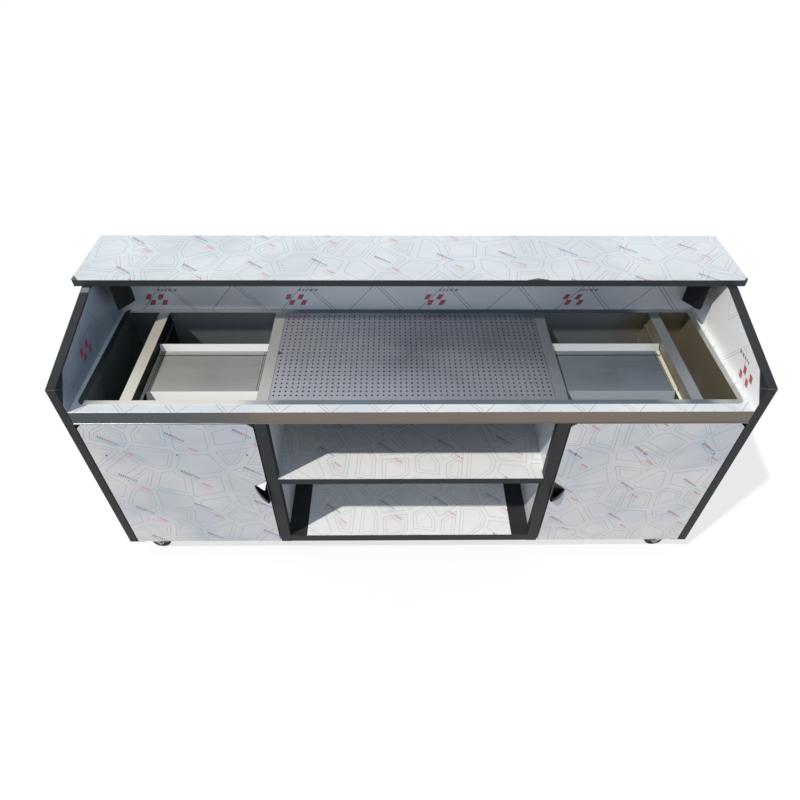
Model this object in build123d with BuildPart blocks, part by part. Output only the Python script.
from build123d import *
import os
from math import asin, atan2, cos, hypot, sin, sqrt, tan

# A portable cocktail station: a bar counter on castors with a working deck behind it.
# The deck holds two deep bottle wells, two ice bins with sliding lids and a perforated
# drainboard over a drain pan. Below it are two cupboards with hinged doors and an open bay.
# X runs along the station, +Y points to the customers and +Z points up. The origin lies on
# the floor in the middle of the whole outline. Lengths are in millimetres.

os.makedirs("parts", exist_ok=True)

# Overall
station_length = 2200.0
frame_depth = 660.0
castor_height = 105.0

# Tubes and sheet
tube_face = 30.0
tube_deep = 40.0
tube_wall = 2.0
tube_edge = 1.5
sheet = 1.5
touch_gap = 0.3
overrun = 5.0

# Bar counter
bar_deep = 290.0
bar_side_overhang = 28.0
bar_rear_overhang = 30.0
bar_board_thick = 23.5
bar_corner = 6.0
slant_gap = 8.0

# Working deck
deck_height = 730.0
deck_rail_height = 50.0
elbow_rise = 96.0
bar_rise = 98.0
rim_setback = 35.0
rim_margin = 16.0
rim_width = 18.0
rim_corner = 22.0
rear_room = 125.0
divider_width = 38.0
ice_bin_width = 393.0
bottle_well_width = 110.0
splash_gap = 2.0

# Bay and cupboards
bay_margin = 15.0
shelf_height = 397.0
shelf_rail_height = 30.0
bearer_width = 80.0
wall_setback = 8.0

# Doors and their pulls
door_thick = 20.0
door_gap = 4.0
pull_projection = 30.0

# Positions worked out from the sizes above. Heights count from the underside of the frame
# and depths from the faces of the front legs, until base and front are added.
half = station_length / 2
inner = half - tube_face
base = castor_height
front = (pull_projection - frame_depth - bar_rear_overhang) / 2
side_x = half - tube_face / 2
elbow_height = deck_height + elbow_rise
frame_height = elbow_height + bar_rise
bar_front = front + frame_depth + bar_rear_overhang - bar_deep
slant_run = bar_front - front - slant_gap
deck_z = base + deck_height
deck_under = deck_z - sheet
post_top = deck_under - deck_rail_height
splash_y = front + frame_depth - rear_room
well_front = front + rim_setback + rim_width
well_back = splash_y - splash_gap - rim_width
well_length = well_back - well_front
bottle_outer = inner - rim_margin - rim_width
bottle_inner = bottle_outer - bottle_well_width
ice_outer = bottle_inner - divider_width
ice_inner = ice_outer - ice_bin_width
drain_half = ice_inner - divider_width
bay_half = drain_half + bay_margin
post_inner = bay_half - wall_setback
post_outer = post_inner + tube_deep
lining_x = inner - sheet

sides = ("left", "right")


def block(x, y, z, mode=Mode.ADD):
    """Adds a box between two planes in each direction."""
    centre = (sum(x) / 2, sum(y) / 2, sum(z) / 2)
    with Locations(centre):
        Box(x[1] - x[0], y[1] - y[0], z[1] - z[0], mode=mode)


def tube_run(start, end, across, size, edge=0.0):
    """Adds a hollow rectangular tube from start to end, its first size lying along across."""
    way = Vector(*end) - Vector(*start)
    with BuildSketch(Plane(origin=start, x_dir=across, z_dir=way)) as section:
        Rectangle(size[0], size[1])
        if edge:
            chamfer(section.vertices(), length=edge)
        Rectangle(size[0] - 2 * tube_wall, size[1] - 2 * tube_wall, mode=Mode.SUBTRACT)
    extrude(section.sketch, amount=way.length)


def outline_sheet(x_low, points, thick=sheet):
    """Adds a flat sheet that stands in a plane across the station, from points (y, z)."""
    with BuildSketch(Plane(origin=(x_low, 0, 0), x_dir=(0, 1, 0), z_dir=(1, 0, 0))) as flat:
        with BuildLine():
            Polyline(*points, close=True)
        make_face()
    extrude(flat.sketch, amount=thick)


def disc(x, y, low, radius, high, mode=Mode.ADD):
    """Adds an upright round piece."""
    with BuildSketch(Plane.XY.offset(low)) as round_face:
        with Locations((x, y)):
            Circle(radius)
    extrude(round_face.sketch, amount=high, mode=mode)


def facing_front(x, y, z):
    """The upright plane through a point that looks towards -Y."""
    return Plane(origin=(x, y, z), x_dir=(1, 0, 0), z_dir=(0, -1, 0))


def to_side(side):
    """Turns a piece drawn on the right into the one on the left."""
    if side == "left":
        mirror(about=Plane.YZ, mode=Mode.REPLACE)


# Side frames
# Each one is a closed loop of rectangular tube: a front leg, a tube that slants back and up
# from the elbow, a level top tube under the bar, a rear leg and a bottom tube.
slant = atan2(frame_height - elbow_height, slant_run)
elbow_z = base + elbow_height
top_z = base + frame_height
slant_drop = tube_deep / cos(slant)
elbow_inner = (tube_deep, elbow_height + tube_deep * tan(slant) - slant_drop)
crest_inner_y = (frame_height - tube_deep - elbow_height + slant_drop) / tan(slant)
rear_leg_y = front + frame_depth - tube_deep


def mitre_plane(outer, corner):
    """The cutting plane through the outer and inner corners (y, z) of two mitred tubes."""
    run, drop = corner[0] - outer[0], outer[1] - corner[1]
    return Plane(
        origin=(0, front + outer[0], base + outer[1]), x_dir=(1, 0, 0), z_dir=(0, drop, run)
    )


elbow_cut = mitre_plane((0, elbow_height), elbow_inner)
crest_cut = mitre_plane((slant_run, frame_height), (crest_inner_y, frame_height - tube_deep))
side_section = (tube_face, tube_deep)

with BuildPart() as front_legs:
    foot = (side_x, front + tube_deep / 2, base)
    head = (side_x, front + tube_deep / 2, elbow_z)
    tube_run(foot, head, (1, 0, 0), side_section, tube_edge)
    split(bisect_by=elbow_cut, keep=Keep.BOTTOM)
    mirror(about=Plane.YZ)
front_legs.part.label = "front_legs"
export_step(front_legs.part, "parts/front_legs.step")

with BuildPart() as slant_tubes:
    along = Vector(0, cos(slant), sin(slant))
    inward = Vector(0, sin(slant), -cos(slant))
    corner_point = Vector(side_x, front, elbow_z) + inward * (tube_deep / 2)
    low_end = corner_point - along * tube_deep
    high_end = corner_point + along * (hypot(slant_run, frame_height - elbow_height) + tube_deep)
    tube_run(tuple(low_end), tuple(high_end), (1, 0, 0), side_section, tube_edge)
    split(bisect_by=elbow_cut, keep=Keep.TOP)
    split(bisect_by=crest_cut, keep=Keep.BOTTOM)
    mirror(about=Plane.YZ)
slant_tubes.part.label = "slant_tubes"
export_step(slant_tubes.part, "parts/slant_tubes.step")

with BuildPart() as top_tubes:
    level = top_z - tube_deep / 2
    start = (side_x, front + slant_run - tube_deep, level)
    tube_run(start, (side_x, rear_leg_y, level), (1, 0, 0), side_section, tube_edge)
    split(bisect_by=crest_cut, keep=Keep.TOP)
    mirror(about=Plane.YZ)
top_tubes.part.label = "top_tubes"
export_step(top_tubes.part, "parts/top_tubes.step")

with BuildPart() as rear_legs:
    centre_y = rear_leg_y + tube_deep / 2
    tube_run((side_x, centre_y, base), (side_x, centre_y, top_z), (1, 0, 0), side_section, tube_edge)
    mirror(about=Plane.YZ)
rear_legs.part.label = "rear_legs"
export_step(rear_legs.part, "parts/rear_legs.step")

with BuildPart() as bottom_tubes:
    level = base + tube_deep / 2
    start = (side_x, front + tube_deep, level)
    tube_run(start, (side_x, rear_leg_y, level), (1, 0, 0), side_section, tube_edge)
    mirror(about=Plane.YZ)
bottom_tubes.part.label = "bottom_tubes"
export_step(bottom_tubes.part, "parts/bottom_tubes.step")

# The deck tubes join the legs at deck level. They are narrower than the side frame, so that
# the cladding passes outside them.
cladding_setback = 3.0
deck_tube_face = tube_face - cladding_setback - sheet - touch_gap
with BuildPart() as deck_side_tubes:
    level = deck_under - tube_deep / 2
    centre_x = inner + deck_tube_face / 2
    start = (centre_x, front + tube_deep, level)
    tube_run(start, (centre_x, rear_leg_y, level), (1, 0, 0), (deck_tube_face, tube_deep))
    mirror(about=Plane.YZ)
deck_side_tubes.part.label = "deck_side_tubes"
export_step(deck_side_tubes.part, "parts/deck_side_tubes.step")

# Long rails between the side frames
# The front sill stands behind the doors, and the rear sill closes the customers' side.
sill_y = front + tube_face
rear_rail_y = front + frame_depth - tube_face
sill_section = (tube_face, tube_deep)


def long_rail(y_low, z_low, size, reach=inner, edge=0.0):
    """Adds a tube along the station, its size being depth and height."""
    y, z = y_low + size[0] / 2, z_low + size[1] / 2
    tube_run((-reach, y, z), (reach, y, z), (0, 1, 0), size, edge)


with BuildPart() as front_sill_rail:
    long_rail(sill_y, base, sill_section)
front_sill_rail.part.label = "front_sill_rail"
export_step(front_sill_rail.part, "parts/front_sill_rail.step")

with BuildPart() as rear_sill_rail:
    long_rail(rear_rail_y, base, sill_section, edge=tube_edge)
rear_sill_rail.part.label = "rear_sill_rail"
export_step(rear_sill_rail.part, "parts/rear_sill_rail.step")

with BuildPart() as rear_top_rail:
    long_rail(rear_rail_y, top_z - tube_deep, sill_section, edge=tube_edge)
rear_top_rail.part.label = "rear_top_rail"
export_step(rear_top_rail.part, "parts/rear_top_rail.step")

deck_rail_section = (tube_face, deck_rail_height)
with BuildPart() as front_deck_rail:
    long_rail(front + sheet, post_top, deck_rail_section)
front_deck_rail.part.label = "front_deck_rail"
export_step(front_deck_rail.part, "parts/front_deck_rail.step")

with BuildPart() as rear_deck_rail:
    long_rail(splash_y + sheet, post_top, deck_rail_section)
rear_deck_rail.part.label = "rear_deck_rail"
export_step(rear_deck_rail.part, "parts/rear_deck_rail.step")

# Open bay frame
post_section = (tube_deep, tube_face)
for side in sides:
    with BuildPart() as bay_post:
        post_x = post_inner + tube_deep / 2
        post_y = front + tube_face / 2
        tube_run((post_x, post_y, base), (post_x, post_y, post_top), (1, 0, 0), post_section, tube_edge)
        to_side(side)
    bay_post.part.label = f"bay_post_{side}"
    export_step(bay_post.part, f"parts/bay_post_{side}.step")

with BuildPart() as bay_bottom_rail:
    long_rail(front, base, sill_section, post_inner, tube_edge)
bay_bottom_rail.part.label = "bay_bottom_rail"
export_step(bay_bottom_rail.part, "parts/bay_bottom_rail.step")

shelf_under = base + shelf_height - sheet
with BuildPart() as bay_shelf_rail:
    long_rail(front, shelf_under - shelf_rail_height, (tube_face, shelf_rail_height), post_inner, tube_edge)
bay_shelf_rail.part.label = "bay_shelf_rail"
export_step(bay_shelf_rail.part, "parts/bay_shelf_rail.step")

# Two wide flat tubes carry the bay's walls and floor from the front sill to the rear one.
floor_z = base + tube_deep
bearer_outer = bay_half + sheet
with BuildPart() as bay_bearers:
    bearer_x = bearer_outer - bearer_width / 2
    level = base + tube_deep / 2
    start = (bearer_x, sill_y + tube_face, level)
    tube_run(start, (bearer_x, rear_rail_y, level), (1, 0, 0), (bearer_width, tube_deep))
    mirror(about=Plane.YZ)
bay_bearers.part.label = "bay_bearers"
export_step(bay_bearers.part, "parts/bay_bearers.step")

panel_setback = 2.0
panel_y = front + frame_depth - panel_setback - sheet
with BuildPart() as bay_rear_posts:
    post_x = bearer_outer + tube_face / 2
    post_y = panel_y - tube_face / 2
    foot = (post_x, post_y, floor_z + sheet)
    tube_run(foot, (post_x, post_y, top_z - tube_deep), (1, 0, 0), (tube_face, tube_face))
    mirror(about=Plane.YZ)
bay_rear_posts.part.label = "bay_rear_posts"
export_step(bay_rear_posts.part, "parts/bay_rear_posts.step")

# Bar counter
bar_half = half + bar_side_overhang


def bar_outline(height, thick):
    """Adds a slab with the bar's rounded outline, its underside at a height."""
    with BuildSketch(Plane.XY.offset(height)) as slab:
        with Locations((0, bar_front + bar_deep / 2)):
            RectangleRounded(2 * bar_half, bar_deep, bar_corner)
    extrude(slab.sketch, amount=thick)


with BuildPart() as bar_top_board:
    bar_outline(top_z, bar_board_thick)
bar_top_board.part.label = "bar_top_board"
export_step(bar_top_board.part, "parts/bar_top_board.step")

with BuildPart() as bar_top_skin:
    bar_outline(top_z + bar_board_thick, sheet)
bar_top_skin.part.label = "bar_top_skin"
export_step(bar_top_skin.part, "parts/bar_top_skin.step")

# A folded sheet closes the wall between deck and bar. Its foot and head flanges turn to the
# customers' side.
splash_foot = post_top
splash_flange = 20.0
with BuildPart() as backsplash:
    block((-lining_x, lining_x), (splash_y, splash_y + sheet), (splash_foot, top_z))
    flange_y = (splash_y + sheet, splash_y + sheet + splash_flange)
    block((-lining_x, lining_x), flange_y, (top_z - sheet, top_z))
backsplash.part.label = "backsplash"
export_step(backsplash.part, "parts/backsplash.step")

bracket_thick = 5.0
bracket_inset = 92.0
bracket_front_drop = 102.0
bracket_back_drop = 152.0
bracket_nose = 4.0
bracket_round = 14.0
with BuildPart() as bar_brackets:
    nose_y = bar_front + bracket_nose
    bracket_x = half - bracket_inset
    with BuildSketch(Plane(origin=(bracket_x, 0, 0), x_dir=(0, 1, 0), z_dir=(1, 0, 0))) as web:
        with BuildLine():
            Polyline(
                (nose_y, top_z),
                (nose_y, top_z - bracket_front_drop),
                (splash_y, top_z - bracket_back_drop),
                (splash_y, top_z),
                close=True,
            )
        make_face()
        fillet(web.vertices().group_by(Axis.X)[0].sort_by(Axis.Y)[0], radius=bracket_round)
    extrude(amount=bracket_thick)
    mirror(about=Plane.YZ)
bar_brackets.part.label = "bar_brackets"
export_step(bar_brackets.part, "parts/bar_brackets.step")

# Panels on the frame
lining_drop = 5.0
lining_front = 2.0
lining_cut_down = 64.0
lining_cut_back = 72.0
elbow_top = elbow_z - lining_drop
cut_back_z = elbow_top + lining_cut_back * tan(slant)
for side in sides:
    with BuildPart() as side_lining:
        edge = front + lining_front
        lining_points = [
            (edge, deck_under),
            (edge, elbow_z - lining_cut_down),
            (front + lining_cut_back, cut_back_z),
            (front + slant_run, top_z - lining_drop),
            (splash_y, top_z - lining_drop),
            (splash_y, deck_under),
        ]
        outline_sheet(lining_x, lining_points)
        to_side(side)
    side_lining.part.label = f"side_lining_{side}"
    export_step(side_lining.part, f"parts/side_lining_{side}.step")

with BuildPart() as side_claddings:
    cladding_points = [
        (front + tube_deep, floor_z),
        (front + tube_deep, base + elbow_inner[1]),
        (front + crest_inner_y, top_z - tube_deep),
        (rear_leg_y, top_z - tube_deep),
        (rear_leg_y, floor_z),
    ]
    outline_sheet(half - cladding_setback - sheet, cladding_points)
    mirror(about=Plane.YZ)
side_claddings.part.label = "side_claddings"
export_step(side_claddings.part, "parts/side_claddings.step")

with BuildPart() as customer_panel:
    block((-inner, inner), (panel_y, panel_y + sheet), (floor_z, top_z - tube_deep))
customer_panel.part.label = "customer_panel"
export_step(customer_panel.part, "parts/customer_panel.step")

with BuildPart() as bay_walls:
    block((bay_half, bay_half + sheet), (sill_y, panel_y), (floor_z, post_top))
    mirror(about=Plane.YZ)
bay_walls.part.label = "bay_walls"
export_step(bay_walls.part, "parts/bay_walls.step")

floor_lap = 6.0
floor_half = bearer_outer - bearer_width + floor_lap
with BuildPart() as bay_floor:
    block((-floor_half, floor_half), (front, panel_y), (floor_z, floor_z + sheet))
bay_floor.part.label = "bay_floor"
export_step(bay_floor.part, "parts/bay_floor.step")

# The shelf laps over its rail between the posts and is folded down along both walls.
shelf_flange = 25.0
shelf_y = (sill_y, panel_y)
with BuildPart() as bay_shelf:
    block((-post_inner, post_inner), (front, sill_y), (shelf_under, shelf_under + sheet))
    block((-bay_half, bay_half), shelf_y, (shelf_under, shelf_under + sheet))
    for x_low in (-bay_half, bay_half - sheet):
        block((x_low, x_low + sheet), shelf_y, (shelf_under - shelf_flange, shelf_under))
bay_shelf.part.label = "bay_shelf"
export_step(bay_shelf.part, "parts/bay_shelf.step")

with BuildPart() as cupboard_floors:
    block((bearer_outer, inner), (sill_y, panel_y), (floor_z, floor_z + sheet))
    mirror(about=Plane.YZ)
cupboard_floors.part.label = "cupboard_floors"
export_step(cupboard_floors.part, "parts/cupboard_floors.step")

# Deck
# The deck sheet is folded down in front into an apron and has one large opening for the
# drop-in well unit, whose flat rim laps over it.
deck_opening_gap = 3.0
deck_bend = 3.0
with BuildPart() as deck_panel:
    apron_low = post_top
    profile = [
        (front, apron_low),
        (front, deck_z),
        (splash_y, deck_z),
        (splash_y, deck_under),
        (front + sheet, deck_under),
        (front + sheet, apron_low),
    ]
    with BuildSketch(Plane(origin=(-lining_x, 0, 0), x_dir=(0, 1, 0), z_dir=(1, 0, 0))) as fold:
        with BuildLine():
            Polyline(*profile, close=True)
        make_face()
        fillet(fold.vertices().group_by(Axis.X)[0].sort_by(Axis.Y)[-1], radius=deck_bend)
    extrude(amount=2 * lining_x)
    hole_half = bottle_outer + sheet + deck_opening_gap
    hole_y = (well_front - sheet - deck_opening_gap, well_back + sheet + deck_opening_gap)
    block((-hole_half, hole_half), hole_y, (deck_under - overrun, deck_z + overrun), Mode.SUBTRACT)
deck_panel.part.label = "deck_panel"
export_step(deck_panel.part, "parts/deck_panel.step")

# The rim is a flat frame around the whole well unit. Four divider bars lie flush in it, and
# the pans' walls are welded below them.
well_middle_y = (well_front + well_back) / 2
with BuildPart() as well_rim:
    with BuildSketch(Plane.XY.offset(deck_z)):
        with Locations((0, well_middle_y)):
            RectangleRounded(2 * (bottle_outer + rim_width), well_length + 2 * rim_width, rim_corner)
            Rectangle(2 * bottle_outer, well_length, mode=Mode.SUBTRACT)
    extrude(amount=sheet)
well_rim.part.label = "well_rim"
export_step(well_rim.part, "parts/well_rim.step")

with BuildPart() as divider_bars:
    for bar_low in (drain_half, ice_outer):
        block((bar_low, bar_low + divider_width), (well_front, well_back), (deck_z, deck_z + sheet))
    mirror(about=Plane.YZ)
divider_bars.part.label = "divider_bars"
export_step(divider_bars.part, "parts/divider_bars.step")


def pan(x_middle, levels, drain=None):
    """Adds a folded pan, open above. Each level is a clear size (x, y) between two heights."""
    for size, low, high in levels:
        half_x, half_y = size[0] / 2 + sheet, size[1] / 2 + sheet
        shell_y = (well_middle_y - half_y, well_middle_y + half_y)
        block((x_middle - half_x, x_middle + half_x), shell_y, (low - sheet, high))
    for size, low, high in levels:
        half_x, half_y = size[0] / 2, size[1] / 2
        room_y = (well_middle_y - half_y, well_middle_y + half_y)
        block((x_middle - half_x, x_middle + half_x), room_y, (low, high), Mode.SUBTRACT)
    if drain:
        drain_y, drain_radius = drain
        floor = min(low for size, low, high in levels)
        disc(x_middle, drain_y, floor - sheet, drain_radius, sheet, Mode.SUBTRACT)


bottle_well_depth = 260.0
bottle_middle = (bottle_inner + bottle_outer) / 2
bottle_floor = deck_z - bottle_well_depth
for side in sides:
    with BuildPart() as bottle_well:
        pan(bottle_middle, [((bottle_well_width, well_length), bottle_floor, deck_z)])
        to_side(side)
    bottle_well.part.label = f"bottle_well_{side}"
    export_step(bottle_well.part, f"parts/bottle_well_{side}.step")

# Ice bins: an angle along each side wall carries the sliding lid, and the floor has an outlet.
ice_bin_depth = 300.0
ledge_width = 8.0
ledge_high = 12.0
ledge_drop = 42.0
outlet_radius = 16.0
outlet_setback = 120.0
ledge_z = deck_z - ledge_drop
ice_floor = deck_z - ice_bin_depth
ice_middle = (ice_inner + ice_outer) / 2
outlet_y = well_back - outlet_setback
for side in sides:
    with BuildPart() as ice_bin:
        pan(ice_middle, [((ice_bin_width, well_length), ice_floor, deck_z)], (outlet_y, outlet_radius))
        to_side(side)
    ice_bin.part.label = f"ice_bin_{side}"
    export_step(ice_bin.part, f"parts/ice_bin_{side}.step")

with BuildPart() as lid_ledges:
    for wall_x, way in ((ice_inner, 1), (ice_outer, -1)):
        seat_x = sorted((wall_x, wall_x + way * ledge_width))
        web_x = sorted((wall_x, wall_x + way * sheet))
        block(seat_x, (well_front, well_back), (ledge_z - sheet, ledge_z))
        block(web_x, (well_front, well_back), (ledge_z - ledge_high, ledge_z - sheet))
    mirror(about=Plane.YZ)
lid_ledges.part.label = "lid_ledges"
export_step(lid_ledges.part, "parts/lid_ledges.step")

# Drain pan and drainboard
drain_pan_depth = 45.0
board_thick = 2.0
board_sink = 0.8
board_edge_gap = 1.0
board_ledge = 8.0
spigot_radius = 11.0
spigot_length = 28.0
board_top = deck_z + sheet - board_sink
board_under = board_top - board_thick
board_seat = board_under - touch_gap
pan_floor = deck_z - drain_pan_depth
with BuildPart() as drain_pan:
    upper = (2 * drain_half, well_length)
    lower = (upper[0] - 2 * board_ledge, upper[1] - 2 * board_ledge)
    levels = [(upper, board_seat, deck_z), (lower, pan_floor, board_seat)]
    pan(0, levels, (outlet_y, spigot_radius - sheet))
    with BuildSketch(Plane.XY.offset(pan_floor - sheet)):
        with Locations((0, outlet_y)):
            Circle(spigot_radius)
            Circle(spigot_radius - sheet, mode=Mode.SUBTRACT)
    extrude(amount=-spigot_length)
drain_pan.part.label = "drain_pan"
export_step(drain_pan.part, "parts/drain_pan.step")

# The drainboard's holes stand on a square grid. They are six-sided and over three times as
# far apart as the real ones, so that the plate stays light.
hole_columns = 15
hole_rows = 7
hole_radius = 7.5
board_margin = 17.0
notch_radius = 7.0
board_length = 2 * (drain_half - board_edge_gap)
board_deep = well_length - 2 * board_edge_gap
with BuildPart() as drainboard:
    with BuildSketch(Plane.XY.offset(board_under)):
        with Locations((0, well_middle_y)):
            Rectangle(board_length, board_deep)
        pitch_x = (board_length - 2 * board_margin) / (hole_columns - 1)
        pitch_y = (board_deep - 2 * board_margin) / (hole_rows - 1)
        with Locations((0, well_middle_y)):
            with GridLocations(pitch_x, pitch_y, hole_columns, hole_rows):
                RegularPolygon(hole_radius, 6, mode=Mode.SUBTRACT)
        with Locations((-board_length / 2, well_middle_y)):
            Circle(notch_radius, mode=Mode.SUBTRACT)
    extrude(amount=board_thick)
drainboard.part.label = "drainboard"
export_step(drainboard.part, "parts/drainboard.step")

# Drain cocks
# Under each ice bin's outlet hangs a short pipe with a nut and a six-sided ball valve. Its stem
# points to the front and carries a lever, which lies level while the cock is shut.
cock_nut_radius = 26.0
cock_nut = 6.0
cock_pipe_radius = 14.0
cock_pipe_wall = 2.0
cock_pipe_length = 96.0
valve_drop = 52.0
valve_radius = 21.0
valve_high = 34.0
stem_radius = 5.0
stem_reach = 36.0
stem_running_gap = 0.05
stem_nut_radius = 8.0
stem_nut = 5.0
lever_length = 94.0
lever_width = 16.0
lever_thick = 3.0
cock_top = ice_floor - sheet
valve_z = cock_top - valve_drop
stem_end_y = outlet_y - stem_reach
with BuildPart() as drain_cocks:
    disc(ice_middle, outlet_y, cock_top - cock_pipe_length, cock_pipe_radius, cock_pipe_length)
    for low, radius, high in (
        (cock_top - cock_nut, cock_nut_radius, cock_nut),
        (valve_z - valve_high / 2, valve_radius, valve_high),
    ):
        with BuildSketch(Plane.XY.offset(low)):
            with Locations((ice_middle, outlet_y)):
                RegularPolygon(radius, 6)
        extrude(amount=high)
    with BuildSketch(facing_front(ice_middle, outlet_y, valve_z)):
        Circle(stem_radius)
    extrude(amount=stem_reach)
    with BuildSketch(facing_front(ice_middle, stem_end_y, valve_z)):
        RegularPolygon(stem_nut_radius, 6)
    extrude(amount=stem_nut)
    bore = cock_pipe_radius - cock_pipe_wall
    disc(ice_middle, outlet_y, cock_top - cock_pipe_length, bore, cock_pipe_length, Mode.SUBTRACT)
    mirror(about=Plane.YZ)
drain_cocks.part.label = "drain_cocks"
export_step(drain_cocks.part, "parts/drain_cocks.step")

for side in sides:
    with BuildPart() as drain_lever:
        with BuildSketch(facing_front(ice_middle, stem_end_y + touch_gap, valve_z)) as bar:
            with Locations((-lever_length / 2 + lever_width / 2, 0)):
                Rectangle(lever_length, lever_width)
            Circle(stem_radius + stem_running_gap, mode=Mode.SUBTRACT)
        extrude(bar.sketch, amount=-lever_thick)
        to_side(side)
    drain_lever.part.label = f"drain_lever_{side}"
    export_step(drain_lever.part, f"parts/drain_lever_{side}.step")

# Sliding lids
# A lid is a plate on the bin's ledges, folded up along both sides. Its front edge is folded
# down into a lip, and a folded grip strip is welded across its rear edge.
lid_thick = 1.5
lid_side_gap = 3.0
lid_flange = 8.0
lid_start = 83.0
lid_length = 205.0
lip_drop = 25.0
lip_run = 14.0
grip_rise = 24.0
grip_run = 13.0
grip_flange = 22.0
lip_clear = 3.0
lid_low = ledge_z + touch_gap
lid_front_y = well_front + lid_start
lid_back_y = lid_front_y + lid_length
lid_half = ice_bin_width / 2 - lid_side_gap
lip_half = ice_bin_width / 2 - ledge_width - lip_clear
for side in sides:
    with BuildPart() as ice_lid:
        lid_x = (ice_middle - lid_half, ice_middle + lid_half)
        lid_y = (lid_front_y, lid_back_y)
        block(lid_x, lid_y, (lid_low, lid_low + lid_thick))
        for edge_x in (lid_x[0], lid_x[1] - lid_thick):
            block((edge_x, edge_x + lid_thick), lid_y, (lid_low, lid_low + lid_flange))
        lip_points = [
            (lid_front_y, lid_low + lid_thick),
            (lid_front_y, lid_low),
            (lid_front_y - lip_run, lid_low - lip_drop),
            (lid_front_y - lip_run - lid_thick, lid_low - lip_drop),
            (lid_front_y - lid_thick, lid_low + lid_thick),
        ]
        outline_sheet(ice_middle - lip_half, lip_points, 2 * lip_half)
        flange_low = lid_low + lid_thick
        grip_points = [
            (lid_back_y - grip_flange, flange_low),
            (lid_back_y - grip_flange, flange_low + lid_thick),
            (lid_back_y - lid_thick, flange_low + lid_thick),
            (lid_back_y - lid_thick + grip_run, flange_low + grip_rise),
            (lid_back_y + grip_run, flange_low + grip_rise),
            (lid_back_y, flange_low),
        ]
        outline_sheet(ice_middle - lid_half, grip_points, 2 * lid_half)
        to_side(side)
    ice_lid.part.label = f"ice_lid_{side}"
    export_step(ice_lid.part, f"parts/ice_lid_{side}.step")

# Doors
# Each door is a folded pan, open behind, with clipped upper corners. It turns on a pin in its
# top and bottom edges.
pivot_plate = 2.2
pivot_inset = 15.0
pivot_radius = 4.0
pivot_running_gap = 0.05
pivot_pin_reach = 24.0
pivot_width = 16.0
pivot_high = 28.0
door_lip = 16.0
door_clip = 18.0
door_inner_x = post_outer + door_gap
door_outer_x = inner - door_gap
door_low = base + pivot_plate + touch_gap
door_high = post_top - pivot_plate - touch_gap
door_back = front + door_thick
pivot_x = door_outer_x - pivot_inset
pivot_y = front + door_thick / 2
pivot_block_x = (pivot_x - pivot_width / 2, pivot_x + pivot_width / 2)


def door_slab(inset, y, mode=Mode.ADD):
    """Adds a slab between two depths, with the door's outline drawn in by inset."""
    middle_z = (door_low + door_high) / 2
    clip = door_clip - inset * (2 - sqrt(2))
    centre = ((door_inner_x + door_outer_x) / 2, y[0], middle_z)
    with BuildSketch(Plane(origin=centre, x_dir=(-1, 0, 0), z_dir=(0, 1, 0))) as face:
        Rectangle(door_outer_x - door_inner_x - 2 * inset, door_high - door_low - 2 * inset)
        chamfer(face.vertices().group_by(Axis.Y)[-1], length=clip)
    extrude(face.sketch, amount=y[1] - y[0], mode=mode)


for side in sides:
    with BuildPart() as door:
        door_slab(0, (front, door_back))
        door_slab(sheet, (front + sheet, door_back - sheet), Mode.SUBTRACT)
        door_slab(door_lip, (door_back - sheet, door_back), Mode.SUBTRACT)
        for low in (door_low, door_high - pivot_high):
            block(pivot_block_x, (front, door_back), (low, low + pivot_high))
        door_slab(0, (front, door_back), Mode.INTERSECT)
        for low in (door_low, door_high - pivot_pin_reach):
            disc(pivot_x, pivot_y, low, pivot_radius + pivot_running_gap, pivot_pin_reach, Mode.SUBTRACT)
        to_side(side)
    door.part.label = f"door_{side}"
    export_step(door.part, f"parts/door_{side}.step")

# The pivots are small plates with a pin, below the deck rail and in front of the sill.
with BuildPart() as door_pivots:
    for low in (base, post_top - pivot_plate):
        block((pivot_block_x[0], inner), (front, front + tube_face), (low, low + pivot_plate))
    for low in (base, post_top - pivot_pin_reach):
        disc(pivot_x, pivot_y, low, pivot_radius, pivot_pin_reach)
    mirror(about=Plane.YZ)
door_pivots.part.label = "door_pivots"
export_step(door_pivots.part, "parts/door_pivots.step")

catch_length = 42.0
catch_deep = 16.0
catch_high = 15.0
catch_inset = 22.0
with BuildPart() as door_catches:
    catch_y = door_back + touch_gap
    catch_x = door_inner_x + catch_inset
    catch_z = (post_top - catch_high, post_top)
    block((catch_x, catch_x + catch_length), (catch_y, catch_y + catch_deep), catch_z)
    mirror(about=Plane.YZ)
door_catches.part.label = "door_catches"
export_step(door_catches.part, "parts/door_catches.step")

# Pulls
# A pull is a moulded half shell, a quarter of a barrel cut off at the door's face and open to
# the bay post. Its belly is made of short straight steps on an arc.
pull_width = 43.0
pull_length = 122.0
pull_height = 330.0
pull_wall = 3.0
pull_edge_gap = 2.0
belly_steps = 6
pull_depth = pull_projection
pull_offset = (pull_width**2 - pull_depth**2) / (2 * pull_depth)
pull_radius = pull_offset + pull_depth
pull_mouth_x = door_inner_x + pull_edge_gap
pull_z = base + pull_height


def belly(half_length, rise):
    """The barrel's outline, (radius, height), which rises above the offset by rise halfway up."""
    sweep_radius = (half_length**2 + rise**2) / (2 * rise)
    reach = asin(half_length / sweep_radius)
    turns = [reach * (2 * step / belly_steps - 1) for step in range(belly_steps + 1)]
    flat = pull_offset + rise - sweep_radius
    return [(flat + sweep_radius * cos(turn), sweep_radius * sin(turn)) for turn in turns]


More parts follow.
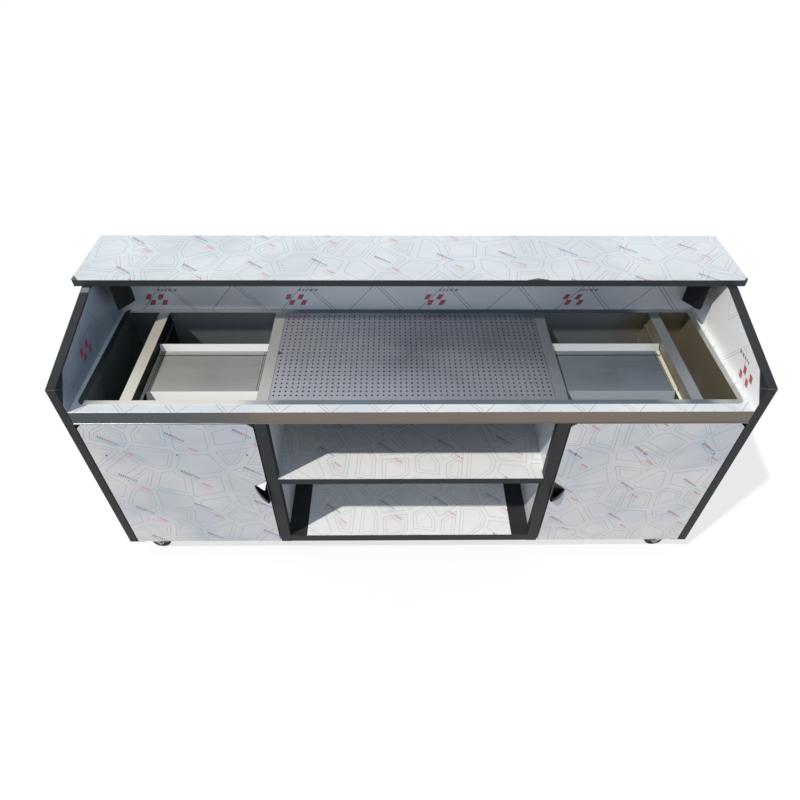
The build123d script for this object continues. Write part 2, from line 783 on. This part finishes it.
for side in sides:
    with BuildPart() as door_pull:
        centre = (pull_mouth_x, front + pull_offset, pull_z)
        for wall, mode in ((0, Mode.ADD), (pull_wall, Mode.SUBTRACT)):
            outline = belly(pull_length / 2 - wall, pull_depth - wall)
            with BuildSketch(facing_front(*centre)):
                with BuildLine():
                    Polyline((0, outline[0][1]), *outline, (0, outline[-1][1]), close=True)
                make_face()
            revolve(axis=Axis(centre, (0, 0, -1)), revolution_arc=90, mode=mode)
        reach = pull_radius + pull_length
        keep_x = (pull_mouth_x, pull_mouth_x + reach)
        block(keep_x, (front - reach, front), (pull_z - reach, pull_z + reach), Mode.INTERSECT)
        to_side(side)
    door_pull.part.label = f"door_pull_{side}"
    export_step(door_pull.part, f"parts/door_pull_{side}.step")

# Castors
# Each one has a top plate with a race and a king pin, a swivelling fork with its axle bolt, and
# a wheel.
castor_inset = 60.0
castor_front = 56.0
castor_trail = 32.0
wheel_width = 27.0
hub_width = 30.0
hub_radius = 13.0
axle_radius = 4.0
axle_head_radius = 7.5
axle_head = 5.0
running_gap = 0.05
fork_plate = 3.0
fork_gap = 0.5
crown_gap = 4.0
race_radius = 22.0
race_high = 18.7
king_radius = 6.0
king_nut_radius = 10.0
king_nut = 7.0
plate_length = 100.0
plate_deep = 84.0
plate_thick = 4.0
plate_clip = 6.0
boss_radius = 12.0
castor_x = half - castor_inset
axle_x = castor_x - castor_trail
castor_front_y = front + castor_front
castor_back_y = front + frame_depth - castor_front
castor_places = {"front": castor_front_y, "rear": castor_back_y}
plate_low = castor_height - plate_thick
crown_high = plate_low - race_high - touch_gap
crown_low = crown_high - fork_plate
wheel_radius = (crown_low - crown_gap) / 2
leg_inner = hub_width / 2 + fork_gap

with BuildPart() as castor_plates:
    for castor_y in castor_places.values():
        with BuildSketch(Plane.XY.offset(plate_low)) as top_plate:
            with Locations((half - plate_length / 2, castor_y)):
                Rectangle(plate_length, plate_deep)
            chamfer(top_plate.vertices(), length=plate_clip)
        extrude(top_plate.sketch, amount=plate_thick)
        disc(castor_x, castor_y, plate_low - race_high, race_radius, race_high)
        king_low = crown_low - touch_gap - king_nut
        disc(castor_x, castor_y, king_low, king_radius, plate_low - king_low)
        with BuildSketch(Plane.XY.offset(king_low)) as pin_nut:
            with Locations((castor_x, castor_y)):
                RegularPolygon(king_nut_radius, 6)
        extrude(pin_nut.sketch, amount=king_nut)
    mirror(about=Plane.YZ)
castor_plates.part.label = "castor_plates"
export_step(castor_plates.part, "parts/castor_plates.step")

for place, castor_y in castor_places.items():
    for side in sides:
        with BuildPart() as castor_fork:
            crown_half = leg_inner + fork_plate
            for leg_low in (castor_y - crown_half, castor_y + leg_inner):
                with BuildSketch(facing_front(castor_x, leg_low, 0)) as leg:
                    with Locations((-castor_trail, wheel_radius)):
                        Circle(boss_radius)
                    with Locations((0, crown_low + fork_plate / 2)):
                        Rectangle(2 * race_radius, fork_plate)
                    make_hull()
                extrude(leg.sketch, amount=-fork_plate)
            crown_y = (castor_y - crown_half, castor_y + crown_half)
            block((castor_x - race_radius, castor_x + race_radius), crown_y, (crown_low, crown_high))
            disc(castor_x, castor_y, crown_low, king_radius + running_gap, fork_plate, Mode.SUBTRACT)
            for low_y in (crown_y[0] - axle_head, crown_y[1]):
                with BuildSketch(facing_front(axle_x, low_y, wheel_radius)) as head:
                    RegularPolygon(axle_head_radius, 6)
                extrude(head.sketch, amount=-axle_head)
            with BuildSketch(facing_front(axle_x, crown_y[0], wheel_radius)) as axle:
                Circle(axle_radius)
            extrude(axle.sketch, amount=-2 * crown_half)
            to_side(side)
        castor_fork.part.label = f"castor_fork_{place}_{side}"
        export_step(castor_fork.part, f"parts/castor_fork_{place}_{side}.step")

        with BuildPart() as castor_wheel:
            centre = (axle_x, castor_y, wheel_radius)
            with BuildSketch(Plane(origin=centre, x_dir=(0, 1, 0), z_dir=(1, 0, 0))):
                with Locations((0, hub_radius / 2)):
                    Rectangle(hub_width, hub_radius)
                with Locations((0, wheel_radius / 2)):
                    Rectangle(wheel_width, wheel_radius)
                Rectangle(2 * hub_width, 2 * (axle_radius + running_gap), mode=Mode.SUBTRACT)
            revolve(axis=Axis((axle_x, castor_y, wheel_radius), (0, 1, 0)))
            to_side(side)
        castor_wheel.part.label = f"castor_wheel_{place}_{side}"
        export_step(castor_wheel.part, f"parts/castor_wheel_{place}_{side}.step")
